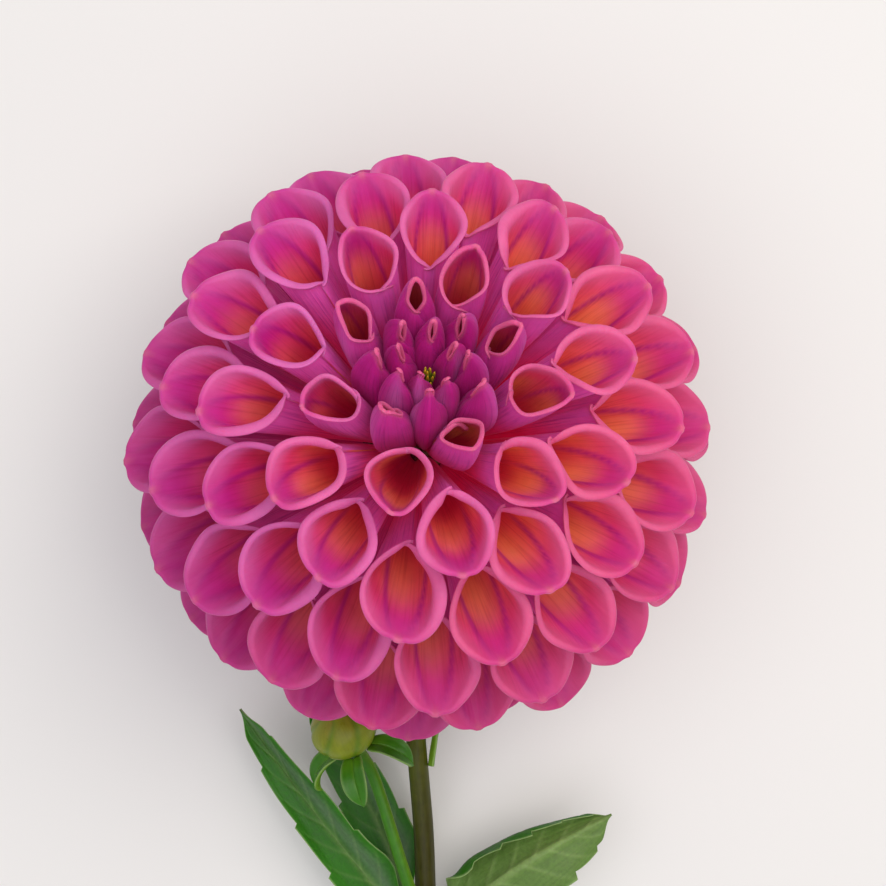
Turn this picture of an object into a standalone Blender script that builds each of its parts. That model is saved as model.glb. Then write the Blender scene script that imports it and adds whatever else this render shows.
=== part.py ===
"""Ball dahlia, as picked: one bloom on its cut stem, with a pair of leaves, a side bud and its stalk.

The flower lies on a surface, its face up and its neck bent, so that the stem lies along -Y.
The bloom is built round its own centre first. At the end everything is set down on z = 0,
with the middle of the whole flower's box over the origin.

The ray florets sit on a round receptacle in the spiral that a seed head has: each is one golden angle
on from the last, and as far from the front pole as its own share of the ball's surface puts it.
Every floret keeps inside its own cell, the cone of directions that lie nearer to it than to any other
floret, so no two of them touch. Florets that follow each other at 13 places share a strip at their feet.
"""

import math

import bpy
import numpy as np

MM = 0.001

# Driving dimensions
BLOOM_RADIUS = 50 * MM
BLOOM_TILT = math.radians(20.5)  # the bloom's axis leans from straight up towards +Y
BLOOM_LEAN = math.radians(2.5)  # and a little towards +X
STEM_RADIUS = 2.1 * MM
STEM_REACH = 134 * MM  # from the bloom's centre to the cut, along the surface
NODE_REACH = 93 * MM  # from the bloom's centre to the joint where leaves and side bud grow
GAP = 0.3 * MM  # between pieces that touch in life

# Receptacle, eye and florets
RECEPTACLE_RADIUS = 11 * MM
GOLDEN_ANGLE = math.radians(137.50776)
PATTERN_TURN = math.radians(250)
FIRST_POLAR = math.radians(5.5)
LAST_POLAR = math.radians(150)
BACK_OPENING = math.radians(155)  # behind this the bracts and the neck have their room
HEART_WIDTH = 0.135  # angle that a floret takes up at the heart, radians
FULL_WIDTH = 0.335  # and on the flanks of the ball
WIDTH_RISE = math.radians(33)
ROW_STEP = 13  # florets this many places apart stand foot to foot
HEART_COUNT = 13
FLORET_SIDES = 6
FLORET_WALL = 0.8 * MM
FOOT = RECEPTACLE_RADIUS + GAP
CELL_GAP = 0.22 * MM  # each floret keeps this far inside its cell

# Neck and stem
NECK_BEND = 20 * MM
BACK_SHARE = 0.78  # of the bloom's radius that the rearmost florets reach
MOUTH_DROP = 2.3 * MM  # how far the mouths of the rear florets hang below the florets' middle lines

# Leaves: half the width of each blade, and its midrib's middle and tip from the leaf's foot
BLADE_THICKNESS = 0.8 * MM
LEFT_WIDTH = 6.6 * MM
LEFT_MIDDLE = np.array([-15.5, 19.5, 3.0]) * MM
LEFT_TIP = np.array([-32.0, 42.0, 3.5]) * MM
REAR_WIDTH = 7.0 * MM
REAR_MIDDLE = np.array([-8.0, 18.0, -1.6]) * MM
REAR_TIP = np.array([-20.0, 40.0, 0.4]) * MM
RIGHT_WIDTH = 12.0 * MM
RIGHT_MIDDLE = np.array([15.0, 14.0, 10.5]) * MM
RIGHT_TIP = np.array([32.0, 22.5, 6.5]) * MM

# Bracts and side bud
BRACT_COUNT = 5
BUD_RADIUS = 6.3 * MM
BUD_HALF_HEIGHT = 5.2 * MM
BUD_X = -14.6 * MM
BUD_Y = -52.5 * MM
BUD_RISE = 12.6 * MM  # of the bud's middle over the leaf joint
BUD_HEADING = np.array([-0.35, 0.75, 0.55])
BUD_STALK_RADIUS = 1.15 * MM

AXIS = np.array([
    math.sin(BLOOM_LEAN),
    math.cos(BLOOM_LEAN) * math.sin(BLOOM_TILT),
    math.cos(BLOOM_LEAN) * math.cos(BLOOM_TILT),
])
SIDEWAYS = np.array([
    math.cos(BLOOM_LEAN),
    -math.sin(BLOOM_LEAN) * math.sin(BLOOM_TILT),
    -math.sin(BLOOM_LEAN) * math.cos(BLOOM_TILT),
])
UPWARD = np.cross(AXIS, SIDEWAYS)  # across the bloom's face, towards +Y


# ---------------------------------------------------------------- materials and meshes


def finish(name, colour, roughness):
    """A Principled material of one colour."""
    material = bpy.data.materials.new(name)
    material.use_nodes = True
    shader = material.node_tree.nodes["Principled BSDF"]
    shader.inputs["Base Color"].default_value = (*colour, 1.0)
    shader.inputs["Roughness"].default_value = roughness
    shader.inputs["Metallic"].default_value = 0.0
    material.diffuse_color = (*colour, 1.0)
    return material


class Flower:
    """The solids of the flower, each with its name, points, faces and material, until they are set down."""

    def __init__(self):
        self.solids = []

    def add(self, name, points, faces, material):
        self.solids.append((name, np.asarray(points, float), faces, material))

    def set_down(self):
        """Moves everything so that the lowest point is at z = 0 and the box's middle is over the origin."""
        every = np.vstack([points for _, points, _, _ in self.solids])
        low, high = every.min(0), every.max(0)
        shift = np.array([-(low[0] + high[0]) / 2, -(low[1] + high[1]) / 2, -low[2]])
        for name, points, faces, material in self.solids:
            new_object(name, points + shift, faces, material)


def new_object(name, points, faces, material):
    mesh = bpy.data.meshes.new(name)
    mesh.from_pydata([tuple(p) for p in points], [], faces)
    mesh.update()
    mesh.shade_smooth()
    mesh.materials.append(material)
    made = bpy.data.objects.new(name, mesh)
    bpy.context.scene.collection.objects.link(made)
    return made


def loft(rings):
    """Points and faces of a closed solid through rings of equal size, with a flat cap at each end."""
    sides = len(rings[0])
    points = np.vstack(rings)
    faces = []
    for ring in range(len(rings) - 1):
        for side in range(sides):
            a = ring * sides + side
            b = ring * sides + (side + 1) % sides
            faces.append((a, b, b + sides, a + sides))
    last = (len(rings) - 1) * sides
    faces.append(tuple(range(sides - 1, -1, -1)))
    faces.append(tuple(range(last, last + sides)))
    return points, faced_out(points, faces)


def faced_out(points, faces):
    """The faces, all turned round if they enclose a negative volume."""
    middle = points.mean(0)
    volume = 0.0
    for face in faces:
        for b, c in zip(face[1:], face[2:]):
            volume += np.dot(points[face[0]] - middle, np.cross(points[b] - middle, points[c] - middle))
    return faces if volume > 0 else [face[::-1] for face in faces]


def unit(vector):
    return vector / np.linalg.norm(vector)


def smooth_step(x):
    x = np.clip(x, 0.0, 1.0)
    return x * x * (3 - 2 * x)


def smooth_path(controls, count):
    """A Catmull-Rom curve through the control points, read at equal steps of its parameter."""
    controls = np.asarray(controls, float)
    ends = np.vstack([2 * controls[0] - controls[1], controls, 2 * controls[-1] - controls[-2]])
    points = []
    for t in np.linspace(0, len(controls) - 1 - 1e-9, count):
        k = int(t)
        f = t - k
        a, b, c, d = ends[k : k + 4]
        points.append(
            0.5 * (2 * b + (c - a) * f + (2 * a - 5 * b + 4 * c - d) * f**2 + (3 * b - a - 3 * c + d) * f**3)
        )
    return np.array(points)


def swept(path, radii, sides):
    """Points and faces of a round rod along a path."""
    rings = []
    turn = np.arange(sides) * 2 * math.pi / sides
    for k, centre in enumerate(path):
        along = unit(path[min(k + 1, len(path) - 1)] - path[max(k - 1, 0)])
        across = unit(SIDEWAYS - (SIDEWAYS @ along) * along)
        up = np.cross(along, across)
        rings.append(centre + radii[k] * (np.outer(np.cos(turn), across) + np.outer(np.sin(turn), up)))
    return loft(rings)


# ---------------------------------------------------------------- layout of the florets


def jitter(index, kind):
    """A fixed scatter from -1 to 1 for each floret and each kind of use."""
    value = math.sin(index * 12.9898 + kind * 78.233) * 43758.5453
    return 2 * (value - math.floor(value)) - 1


def angular_width(polar):
    return HEART_WIDTH + (FULL_WIDTH - HEART_WIDTH) * (1 - math.exp(-((polar / WIDTH_RISE) ** 1.6)))


def tip_distance(polar):
    """How far a floret's tip is from the centre: the heart is sunk, and the back is flattened."""
    heart = 0.8 + 0.2 * smooth_step(polar / math.radians(38))
    back = 1 - (1 - BACK_SHARE) * smooth_step((polar - math.radians(95)) / math.radians(55))
    return BLOOM_RADIUS * float(heart * back)


def direction(polar, azimuth):
    flat = math.cos(azimuth) * SIDEWAYS + math.sin(azimuth) * UPWARD
    return math.cos(polar) * AXIS + math.sin(polar) * flat


class Floret:
    """Where one ray floret stands: its direction, the way its tip leans, its width and its reach."""

    def __init__(self, index, polar):
        self.index = index
        self.width = angular_width(polar)
        polar += 0.06 * self.width * jitter(index, 1)
        azimuth = PATTERN_TURN + index * GOLDEN_ANGLE + 0.06 * self.width / math.sin(polar) * jitter(index, 2)
        self.polar = polar
        self.azimuth = azimuth
        self.out = direction(polar, azimuth)
        self.lean = direction(polar + math.pi / 2, azimuth)
        self.side = np.cross(self.out, self.lean)
        self.reach = tip_distance(polar) * (1 + 0.015 * jitter(index, 3))


def spiral():
    """The florets from the heart to the back, each taking its own hexagonal share of the ball."""
    florets = []
    polar = FIRST_POLAR
    while polar < LAST_POLAR:
        florets.append(Floret(len(florets), polar))
        share = 0.866 * angular_width(polar) ** 2
        polar = math.acos(math.cos(polar) - share / (2 * math.pi))
    return florets


def stem_path():
    """Centre line from the receptacle: a bend of one radius, then a long easy run down to the surface."""
    points = []
    for turn in np.linspace(0, math.pi / 2 - BLOOM_TILT - 0.06, 9):
        start = -AXIS * FOOT
        inside = NECK_BEND * (1 - math.cos(turn)) * -UPWARD
        points.append(start + inside - NECK_BEND * math.sin(turn) * AXIS)
    bend_end = points[-1]
    end = np.array([1.5 * MM, -STEM_REACH, ground_height() + STEM_RADIUS + 0.1 * MM])
    controls = [bend_end]
    for share, side, rise in ((0.25, -1.0, 0.6), (0.5, 0.2, 0.3), (0.75, -0.4, 0.0)):
        point = bend_end + share * (end - bend_end)
        controls.append(point + np.array([side * MM, 0, rise * MM]))
    controls.append(end)
    return np.vstack([points[:-1], smooth_path(controls, 14)])


def ground_height():
    """Height of the surface from the bloom's centre: the lowest mouth of the rear florets."""
    heights = []
    for polar in np.radians(np.arange(90, math.degrees(LAST_POLAR), 5)):
        heights.append(tip_distance(polar) * direction(polar, math.pi / 2)[2])
    return min(heights) - MOUTH_DROP


def stem_walls(floret, path):
    """Normals of planes that keep a floret off the bent stem, or None where the stem has its place."""
    normals = []
    for point in path:
        distance = np.linalg.norm(point)
        if not FOOT + 3 * MM < distance < floret.reach + 6 * MM:
            continue
        towards = point / distance
        angle = math.acos(min(1.0, floret.out @ towards))
        thickness = math.asin((STEM_RADIUS + 2 * GAP) / distance)
        if angle < thickness + 0.22 * floret.width:
            return None
        if angle < 1.2 * floret.width:
            across = unit(towards - (towards @ floret.out) * floret.out)
            edge_angle = angle - thickness
            normals.append(math.cos(edge_angle) * across - math.sin(edge_angle) * floret.out)
    return normals


def walls_of(floret, others):
    """Outward normals of the planes between this floret and its neighbours, and the open cone at the back."""
    normals = [direction(BACK_OPENING + math.pi / 2, floret.azimuth)]
    for other in others:
        apart = other - floret.out
        distance = np.linalg.norm(apart)
        if 1e-6 < distance < 2.1 * FULL_WIDTH:
            normals.append(apart / distance)
    return normals


def kept_inside(points, normals, gap):
    """Points moved back, wall by wall, until all of them lie inside the cell."""
    for _ in range(12):
        for normal in normals:
            beyond = points @ normal + gap
            points = points - np.outer(np.clip(beyond, 0, None), normal)
    return points


# ---------------------------------------------------------------- the bloom


def floret_ring(floret, share, spread, drop, turn):
    """One ring round a floret. Share is how far up it is, and the side away from the tip drops."""
    rim = floret.reach * (1 - drop * (1 - np.cos(turn)) / 2)
    height = FOOT + (rim - FOOT) * share
    radius = height * math.tan(floret.width / 2) * spread
    across = np.outer(np.cos(turn), floret.lean) + np.outer(np.sin(turn), floret.side)
    return np.outer(height, floret.out) + radius[:, None] * across


def hollowed(floret, ring, wall):
    """A ring drawn in towards the floret's middle line by the thickness of its wall."""
    middle = np.outer(ring @ floret.out, floret.out)
    offset = ring - middle
    radius = np.linalg.norm(offset, axis=1)[:, None]
    return middle + offset * np.clip(1 - wall / radius, 0.25, 1)


def floret_cup(floret, walls):
    """An open floret: a funnel from its foot to a slanted mouth, hollow for its upper two thirds."""
    turn = np.arange(FLORET_SIDES) * 2 * math.pi / FLORET_SIDES
    rings = []
    for share, spread in ((0.0, 0.6), (0.5, 0.78), (1.0, 1.06)):
        ring = floret_ring(floret, share, spread, 0.2 * share, turn)
        rings.append(kept_inside(ring, walls, CELL_GAP))
    inside = kept_inside(floret_ring(floret, 0.42, 0.6, 0.08, turn), walls, CELL_GAP)
    rings.append(hollowed(floret, rings[2], FLORET_WALL))
    rings.append(hollowed(floret, inside, FLORET_WALL))
    return loft(rings)


def floret_spindle(floret, walls):
    """A furled floret of the heart: a solid spindle with a blunt tip."""
    turn = np.arange(6) * 2 * math.pi / 6
    rings = []
    for share, spread in ((0.0, 0.5), (0.7, 0.9), (0.9, 0.7), (1.0, 0.2)):
        ring = floret_ring(floret, share, spread, 0.0, turn)
        rings.append(kept_inside(ring, walls, CELL_GAP))
    return loft(rings)


def foot_strip(florets):
    """The strip of skin that joins the feet of one row, on the receptacle."""
    width, low, high = 1.0 * MM, 0.15 * MM, 1.3 * MM
    directions = [florets[0].out]
    for a, b in zip(florets, florets[1:]):
        directions += [unit(a.out + b.out), b.out]
    rings = []
    for k, out in enumerate(directions):
        ahead = directions[min(k + 1, len(directions) - 1)] - directions[max(k - 1, 0)]
        side = unit(np.cross(out, ahead))
        ring = []
        for across, height in ((-1, low), (1, low), (1, high), (-1, high)):
            ring.append((FOOT + height) * out + across * width / 2 * side)
        rings.append(np.array(ring))
    return loft(rings)


def joined(body, others, material):
    """One closed mesh from a body and the separate solids that it runs through."""
    points, faces = [], []
    for other_points, other_faces in others:
        start = sum(len(p) for p in points)
        points.append(other_points)
        faces += [tuple(start + corner for corner in face) for face in other_faces]
    base = new_object("join_base", body[0] / MM, body[1], material)
    tool = new_object("join_tool", np.vstack(points) / MM, faces, material)
    union = base.modifiers.new("Union", "BOOLEAN")
    union.operation = "UNION"
    union.object = tool
    bpy.context.view_layer.update()
    evaluated = base.evaluated_get(bpy.context.evaluated_depsgraph_get())
    mesh = bpy.data.meshes.new_from_object(evaluated)
    result_points = np.array([v.co[:] for v in mesh.vertices]) * MM
    result_faces = [tuple(polygon.vertices) for polygon in mesh.polygons]
    bpy.data.objects.remove(base)
    bpy.data.objects.remove(tool)
    return result_points, result_faces


def ray_florets(flower, colour_heart, colour_outer):
    """The furled heart florets one by one, then the open florets in rows, front and back."""
    florets = spiral()
    path = stem_path()
    sites = [AXIS] + [floret.out for floret in florets]
    shapes = {}
    for floret in florets:
        beside_stem = stem_walls(floret, path)
        if beside_stem is None:
            continue
        walls = np.array(walls_of(floret, sites) + beside_stem)
        make = floret_spindle if floret.index < HEART_COUNT else floret_cup
        shapes[floret.index] = make(floret, walls)
    for index in range(HEART_COUNT):
        flower.add(f"heart_floret_{index + 1:02d}", *shapes[index], colour_heart)
    front_end = HEART_COUNT + 5 * ROW_STEP
    for row in range(ROW_STEP):
        members = [i for i in range(HEART_COUNT + row, len(florets), ROW_STEP) if i in shapes]
        parts = {
            "front": [i for i in members if i < front_end],
            "back": [i for i in members if i >= front_end],
        }
        for part, indices in parts.items():
            strip = foot_strip([florets[i] for i in indices])
            mesh = joined(strip, [shapes[i] for i in indices], colour_outer)
            flower.add(f"floret_row_{row + 1:02d}_{part}", *mesh, colour_outer)


def receptacle(flower, material):
    """The round cushion that carries the florets, point for point alike on opposite sides."""
    rings = []
    turn = np.arange(16) * 2 * math.pi / 16
    for polar in np.radians([8, 30, 50, 70, 90, 110, 130, 150, 172]):
        flat = np.outer(np.cos(turn), SIDEWAYS) + np.outer(np.sin(turn), UPWARD)
        rings.append(RECEPTACLE_RADIUS * (-math.cos(polar) * AXIS + math.sin(polar) * flat))
    flower.add("receptacle", *loft(rings), material)


def eye(flower, material):
    """The green point of undeveloped florets in the middle of the heart."""
    heights = np.array([FOOT, 20 * MM, 30 * MM, 34 * MM])
    radii = np.array([0.45, 0.75, 0.95, 0.5]) * MM
    path = np.outer(heights, AXIS)
    flower.add("eye", *swept(path, radii, 6), material)


# ---------------------------------------------------------------- stem, bracts, leaves and bud


def stem(flower, path, material):
    """The cut stem: wide where it meets the receptacle, narrow at the neck, swollen at the leaf joint."""
    radii = []
    for point in path:
        flare = math.exp(-np.linalg.norm(point - path[0]) / (4 * MM))
        swelling = math.exp(-(((point[1] + NODE_REACH) / (5 * MM)) ** 2))
        thicker = smooth_step((-point[1] - 40 * MM) / (90 * MM))
        radii.append(STEM_RADIUS * (0.9 + 0.9 * flare + 0.3 * swelling + 0.1 * thicker))
    flower.add("stem", *swept(path, radii, 8), material)


def stem_point(path, reach):
    """The centre line of the stem at a distance from the bloom's centre along -Y."""
    order = np.argsort(path[:, 1])
    return np.array(
        [np.interp(-reach, path[order, 1], path[order, k]) for k in range(3)]
    )


def blade(path, widths, up, fold):
    """A leaf blade along its midrib. Each half rises from the rib by the fold angle, and ends are blunt."""
    rings = []
    for k, centre in enumerate(path):
        along = unit(path[min(k + 1, len(path) - 1)] - path[max(k - 1, 0)])
        side = unit(np.cross(along, up[k]))
        lift = np.cross(side, along)
        upper, lower = [], []
        for share in (-1.0, -0.5, 0.0, 0.5, 1.0):
            rise = abs(share) * math.sin(fold[k])
            spread = share * math.cos(fold[k])
            point = centre + widths[k] * (spread * side + rise * lift)
            upper.append(point + BLADE_THICKNESS / 2 * lift)
            lower.append(point - BLADE_THICKNESS / 2 * lift)
        rings.append(np.array(upper + lower[::-1]))
    return loft(rings)


def bract(flower, name, base, outward, along, length, width, curl, material):
    """A fleshy bract: it leaves its base outwards and curls back along the stalk."""
    path, widths, ups, folds = [], [], [], []
    for t in np.linspace(0, 1, 6):
        angle = curl[0] + (curl[1] - curl[0]) * t
        heading = math.sin(angle) * outward + math.cos(angle) * along
        path.append(base if not path else path[-1] + length / 5 * heading)
        widths.append(width * (0.35 + 0.65 * math.sin(math.pi * min(1, 0.15 + 0.75 * t))) * (1 - 0.75 * t**4))
        ups.append(unit(math.cos(angle) * outward - math.sin(angle) * along))
        folds.append(math.radians(12))
    flower.add(name, *blade(np.array(path), widths, ups, folds), material)


def bloom_bracts(flower, material):
    """Green bracts behind the bloom, in the opening that the stem leaves by, clear of its bend."""
    for number in range(BRACT_COUNT):
        azimuth = math.radians(48 * (number - 2))
        outward = math.cos(azimuth) * UPWARD + math.sin(azimuth) * SIDEWAYS
        base = -AXIS * (FOOT + 1.0 * MM) + outward * 4.6 * MM
        bract(
            flower, f"bloom_bract_{number + 1}", base, outward, -AXIS,
            12 * MM, 2.1 * MM, (math.radians(30), math.radians(12)), material,
        )


def leaf(flower, name, base, middle, tip, width, up_start, up_end, fold, material):
    """A leaf from its stalk to its tip, widest below the middle."""
    count = 10
    path = smooth_path([base, middle, tip], count)
    widths, ups, folds = [], [], []
    for t in np.linspace(0, 1, count):
        grown = smooth_step(t / 0.3) * (1 - t**2.2) ** 0.8
        widths.append(1.0 * MM + (width - 1.0 * MM) * float(grown))
        ups.append(unit((1 - t) * np.array(up_start) + t * np.array(up_end)))
        folds.append(fold * float(smooth_step(t / 0.4)))
    flower.add(name, *blade(path, widths, ups, folds), material)


def leaves(flower, path, material):
    """The pair at the joint, one on each side of the stem, and the third behind the left one."""
    joint = stem_point(path, NODE_REACH)
    clear = STEM_RADIUS * 1.65
    left = joint + np.array([-clear, 0.5 * MM, 0.2 * MM])
    leaf(
        flower, "leaf_left", left, left + LEFT_MIDDLE, left + LEFT_TIP,
        LEFT_WIDTH, (0.15, 0.2, 1), (-0.1, -0.3, 1), math.radians(24), material,
    )
    rear = joint + np.array([-clear * 0.82, 4.5 * MM, -2.0 * MM])
    leaf(
        flower, "leaf_left_rear", rear, rear + REAR_MIDDLE, rear + REAR_TIP,
        REAR_WIDTH, (0.1, 0, 1), (0.1, 0, 1), math.radians(8), material,
    )
    right = joint + np.array([clear, 0.5 * MM, 0.5 * MM])
    leaf(
        flower, "leaf_right", right, right + RIGHT_MIDDLE, right + RIGHT_TIP,
        RIGHT_WIDTH, (0.1, -0.3, -1), (0.5, -0.3, -1), math.radians(22), material,
    )


def side_bud(flower, path, green, bud_green):
    """The side bud on its stalk, its bracts turned back, and the small shoot in the leaf's axil."""
    joint = stem_point(path, NODE_REACH)
    middle = np.array([BUD_X, BUD_Y, joint[2] + BUD_RISE])
    heading = unit(BUD_HEADING)
    base = middle - heading * BUD_HALF_HEIGHT
    over_stem = STEM_RADIUS * 1.5
    controls = [
        joint + np.array([-1.1 * MM, 3.6 * MM, over_stem + 1.6 * MM]),
        joint + np.array([-4.1 * MM, 12.6 * MM, over_stem + 3.0 * MM]),
        base - heading * 7.5 * MM + np.array([0.8 * MM, -1 * MM, 0]),
        base - heading * GAP,
    ]
    count = 12
    flare = 0.3 * MM * np.exp((np.arange(count) - count + 1) / 1.2)
    flower.add("bud_stalk", *swept(smooth_path(controls, count), BUD_STALK_RADIUS + flare, 7), green)

    across = unit(np.cross(heading, np.array([0, 0, 1.0])))
    above = np.cross(across, heading)
    turn = np.arange(10) * 2 * math.pi / 10
    flat = np.outer(np.cos(turn), across) + np.outer(np.sin(turn), above)
    rings = []
    for polar in np.radians([18, 50, 75, 100, 130, 162]):
        along = -BUD_HALF_HEIGHT * math.cos(polar) * heading
        rings.append(middle + along + BUD_RADIUS * math.sin(polar) * flat)
    flower.add("bud", *loft(rings), bud_green)

    for number in range(BRACT_COUNT):
        azimuth = 2 * math.pi * (number + 0.45) / BRACT_COUNT
        outward = math.cos(azimuth) * across + math.sin(azimuth) * above
        foot = base + heading * 0.1 * MM + outward * 3.6 * MM
        bract(
            flower, f"bud_bract_{number + 1}", foot, outward, -heading,
            9.6 * MM, 2.75 * MM, (math.radians(90), 0.0), green,
        )

    shoot_start = joint + np.array([0.9 * MM, -1 * MM, STEM_RADIUS * 1.3 + 1.6 * MM])
    shoot = shoot_start + np.outer(np.linspace(0, 1, 5), np.array([0.8, 9, 1.2]) * MM)
    flower.add("axil_shoot", *swept(shoot, np.array([0.7, 1.2, 1.3, 0.9, 0.3]) * MM, 6), green)


def stem_bract(flower, path, material):
    """The small leaf that lies along the upper stem."""
    foot = stem_point(path, 61 * MM) + np.array([STEM_RADIUS + 0.55 * MM, 0, 0.3 * MM])
    bract(
        flower, "stem_bract", foot, np.array([1.0, 0, 0]), np.array([0, 1.0, 0.05]),
        9 * MM, 1.3 * MM, (math.radians(4), math.radians(14)), material,
    )


def main():
    for existing in list(bpy.data.objects):
        bpy.data.objects.remove(existing)
    pink = finish("ray_floret", (0.66, 0.09, 0.30), 0.55)
    purple = finish("heart_floret", (0.36, 0.02, 0.16), 0.55)
    green = finish("leaf", (0.06, 0.16, 0.03), 0.45)
    stalk_green = finish("stem", (0.13, 0.14, 0.02), 0.5)
    bract_green = finish("bract", (0.14, 0.28, 0.03), 0.4)
    pale = finish("receptacle", (0.55, 0.62, 0.30), 0.6)

    flower = Flower()
    path = stem_path()
    receptacle(flower, pale)
    eye(flower, bract_green)
    ray_florets(flower, purple, pink)
    stem(flower, path, stalk_green)
    bloom_bracts(flower, bract_green)
    stem_bract(flower, path, bract_green)
    leaves(flower, path, green)
    side_bud(flower, path, bract_green, bract_green)
    flower.set_down()


main()
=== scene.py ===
"""Looks of the ball dahlia: petal tissue, leaf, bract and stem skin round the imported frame.

Every floret of the bloom is its own rolled sheet. All shapes are numpy grids, and the layout of the
florets and of the stem follows the same rules as the solids, measured from the bloom's centre.
"""

import math

import bpy
import numpy as np
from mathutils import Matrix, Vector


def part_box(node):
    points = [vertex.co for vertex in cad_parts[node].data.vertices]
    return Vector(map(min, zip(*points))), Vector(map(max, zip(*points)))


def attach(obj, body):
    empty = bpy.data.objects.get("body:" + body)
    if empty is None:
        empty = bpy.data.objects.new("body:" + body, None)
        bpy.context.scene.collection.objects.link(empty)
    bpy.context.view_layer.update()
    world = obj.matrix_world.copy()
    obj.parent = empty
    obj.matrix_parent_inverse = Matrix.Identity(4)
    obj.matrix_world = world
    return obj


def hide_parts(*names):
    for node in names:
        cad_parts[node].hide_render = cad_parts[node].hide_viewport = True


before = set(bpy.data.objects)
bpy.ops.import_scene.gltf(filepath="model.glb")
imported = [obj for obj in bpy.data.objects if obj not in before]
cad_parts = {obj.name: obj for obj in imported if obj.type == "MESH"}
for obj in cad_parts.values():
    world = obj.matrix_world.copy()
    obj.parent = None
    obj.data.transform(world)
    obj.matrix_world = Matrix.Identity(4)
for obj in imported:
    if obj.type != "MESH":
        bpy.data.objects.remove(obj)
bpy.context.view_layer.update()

MM = 0.001
PATTERN_UNIT = 10 * MM  # the length that one unit of a pattern coordinate stands for on green skin

# ------------ sizes shared with the solids

BLOOM_RADIUS = 50 * MM
BLOOM_TILT = math.radians(20.5)
BLOOM_LEAN = math.radians(2.5)
STEM_RADIUS = 2.1 * MM
STEM_REACH = 134 * MM
NODE_REACH = 93 * MM
RECEPTACLE_RADIUS = 11 * MM
FOOT = RECEPTACLE_RADIUS + 0.3 * MM
GOLDEN_ANGLE = math.radians(137.50776)
PATTERN_TURN = math.radians(250)
FIRST_POLAR = math.radians(5.5)
LAST_POLAR = math.radians(150)
BACK_OPENING = math.radians(155)
HEART_WIDTH = 0.135
FULL_WIDTH = 0.335
WIDTH_RISE = math.radians(33)
BACK_SHARE = 0.78
HEART_REACH = 0.8  # of the bloom's radius, how far out the innermost florets stand
SCATTER = 0.06  # of its width, how far a floret stands off its place
REACH_SCATTER = 0.015
HEXAGON = 0.866  # a hexagon's area over the square of its width
LEAST_ROOM = 0.22  # of its width: a floret with less room beside the stem isn't there
ROW_STEP = 13
HEART_COUNT = 13
FRONT_END = HEART_COUNT + 5 * ROW_STEP
NECK_BEND = 20 * MM

# Leaves: half of each blade's width, and its midrib's middle and tip from its foot
LEFT_WIDTH = 6.6 * MM
LEFT_MIDDLE = np.array([-15.5, 19.5, 3.0]) * MM
LEFT_TIP = np.array([-32.0, 42.0, 3.5]) * MM
REAR_WIDTH = 7.0 * MM
REAR_MIDDLE = np.array([-8.0, 18.0, -1.6]) * MM
REAR_TIP = np.array([-20.0, 40.0, 0.4]) * MM
RIGHT_WIDTH = 12.0 * MM
RIGHT_MIDDLE = np.array([15.0, 14.0, 10.5]) * MM
RIGHT_TIP = np.array([32.0, 22.5, 6.5]) * MM

# Bracts and side bud
BRACT_COUNT = 5
BUD_RADIUS = 6.3 * MM
BUD_HALF_HEIGHT = 5.2 * MM
BUD_X = -14.6 * MM
BUD_Y = -52.5 * MM
BUD_RISE = 12.6 * MM  # of the bud's middle over the leaf joint
BUD_HEADING = np.array([-0.35, 0.75, 0.55])
BUD_STALK_RADIUS = 1.15 * MM
BUD_SCALES = 6
BUD_SIDES = 64
BUD_ROWS = 48
EYE_HEIGHT = 30 * MM  # of the eye's column over the bloom's centre
SPINDLES = 12

AXIS = np.array([
    math.sin(BLOOM_LEAN),
    math.cos(BLOOM_LEAN) * math.sin(BLOOM_TILT),
    math.cos(BLOOM_LEAN) * math.cos(BLOOM_TILT),
])
SIDEWAYS = np.array([
    math.cos(BLOOM_LEAN),
    -math.sin(BLOOM_LEAN) * math.sin(BLOOM_TILT),
    -math.sin(BLOOM_LEAN) * math.cos(BLOOM_TILT),
])
UPWARD = np.cross(AXIS, SIDEWAYS)
CENTRE = np.mean([np.array(corner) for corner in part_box("receptacle")], axis=0)

# ------------ look of the florets

COLUMNS = 72  # points from margin to margin
BODY_ROWS = 24  # points from the foot to the lip
LIP_ROWS = 8
PETAL_THICKNESS = 0.4 * MM
OVERLAP = 1.05  # the margins pass each other by this share of the way round
WINDING = 0.4  # how much further the margins of a furled floret pass each other
CELL_SHARE = 1.04
ROUND_OPEN = 3.4  # power that rounds the cell's corners; a greater one leaves them sharper
ROUND_FURLED = 6.0
OPEN_FROM = 8  # florets up to this one are furled
OPEN_OVER = 21  # and this many further on they are open
THROAT_SHARE = 0.86  # of its cell, how much an open floret takes up below its mouth
LIP_START = math.radians(25)
LIP_TURN = math.radians(125)
LIP_EASE = 1.9  # how much taller than wide the lip's inner side is
LIP_SHARE = 0.07  # of the mouth's width, the radius of the lip's roll
LIFT = 0.7 * MM  # how far one mouth may stand over another
# THROUGH_LIGHT is the strength of a faint painted glow that stands in for the light coming through the
# petals.
THROUGH_LIGHT = 0.07  # light that comes through the petals, as a share of full white
V_CORNER = 38  # degrees round from the meeting margins to the walls that make the mouth's corner
V_SCATTER = 9
TIP_CORNER = math.radians(52)  # the same on the tip's side of a young floret
YOUNG_FLORET = 13  # this corner is sharpest on this floret
YOUNG_SPREAD = 7
CURL_POLAR = math.radians(19)  # the margins draw in most here
CURL_SPREAD = math.radians(11)


# ------------ small tools


def linear(code):
    """An sRGB hex colour as linear red, green and blue: each channel c becomes ((c + 0.055) / 1.055)^2.4."""
    channels = np.array([int(code[k : k + 2], 16) for k in (1, 3, 5)]) / 255
    return np.where(channels > 0.04045, ((channels + 0.055) / 1.055) ** 2.4, channels / 12.92)


def rgba(code):
    return (*linear(code), 1.0)


def unit(vector):
    return vector / np.linalg.norm(vector)


def ease(x):
    """Zero below 0, one above 1, and 3x^2 - 2x^3 between."""
    x = np.clip(x, 0.0, 1.0)
    return x * x * (3 - 2 * x)


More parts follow.
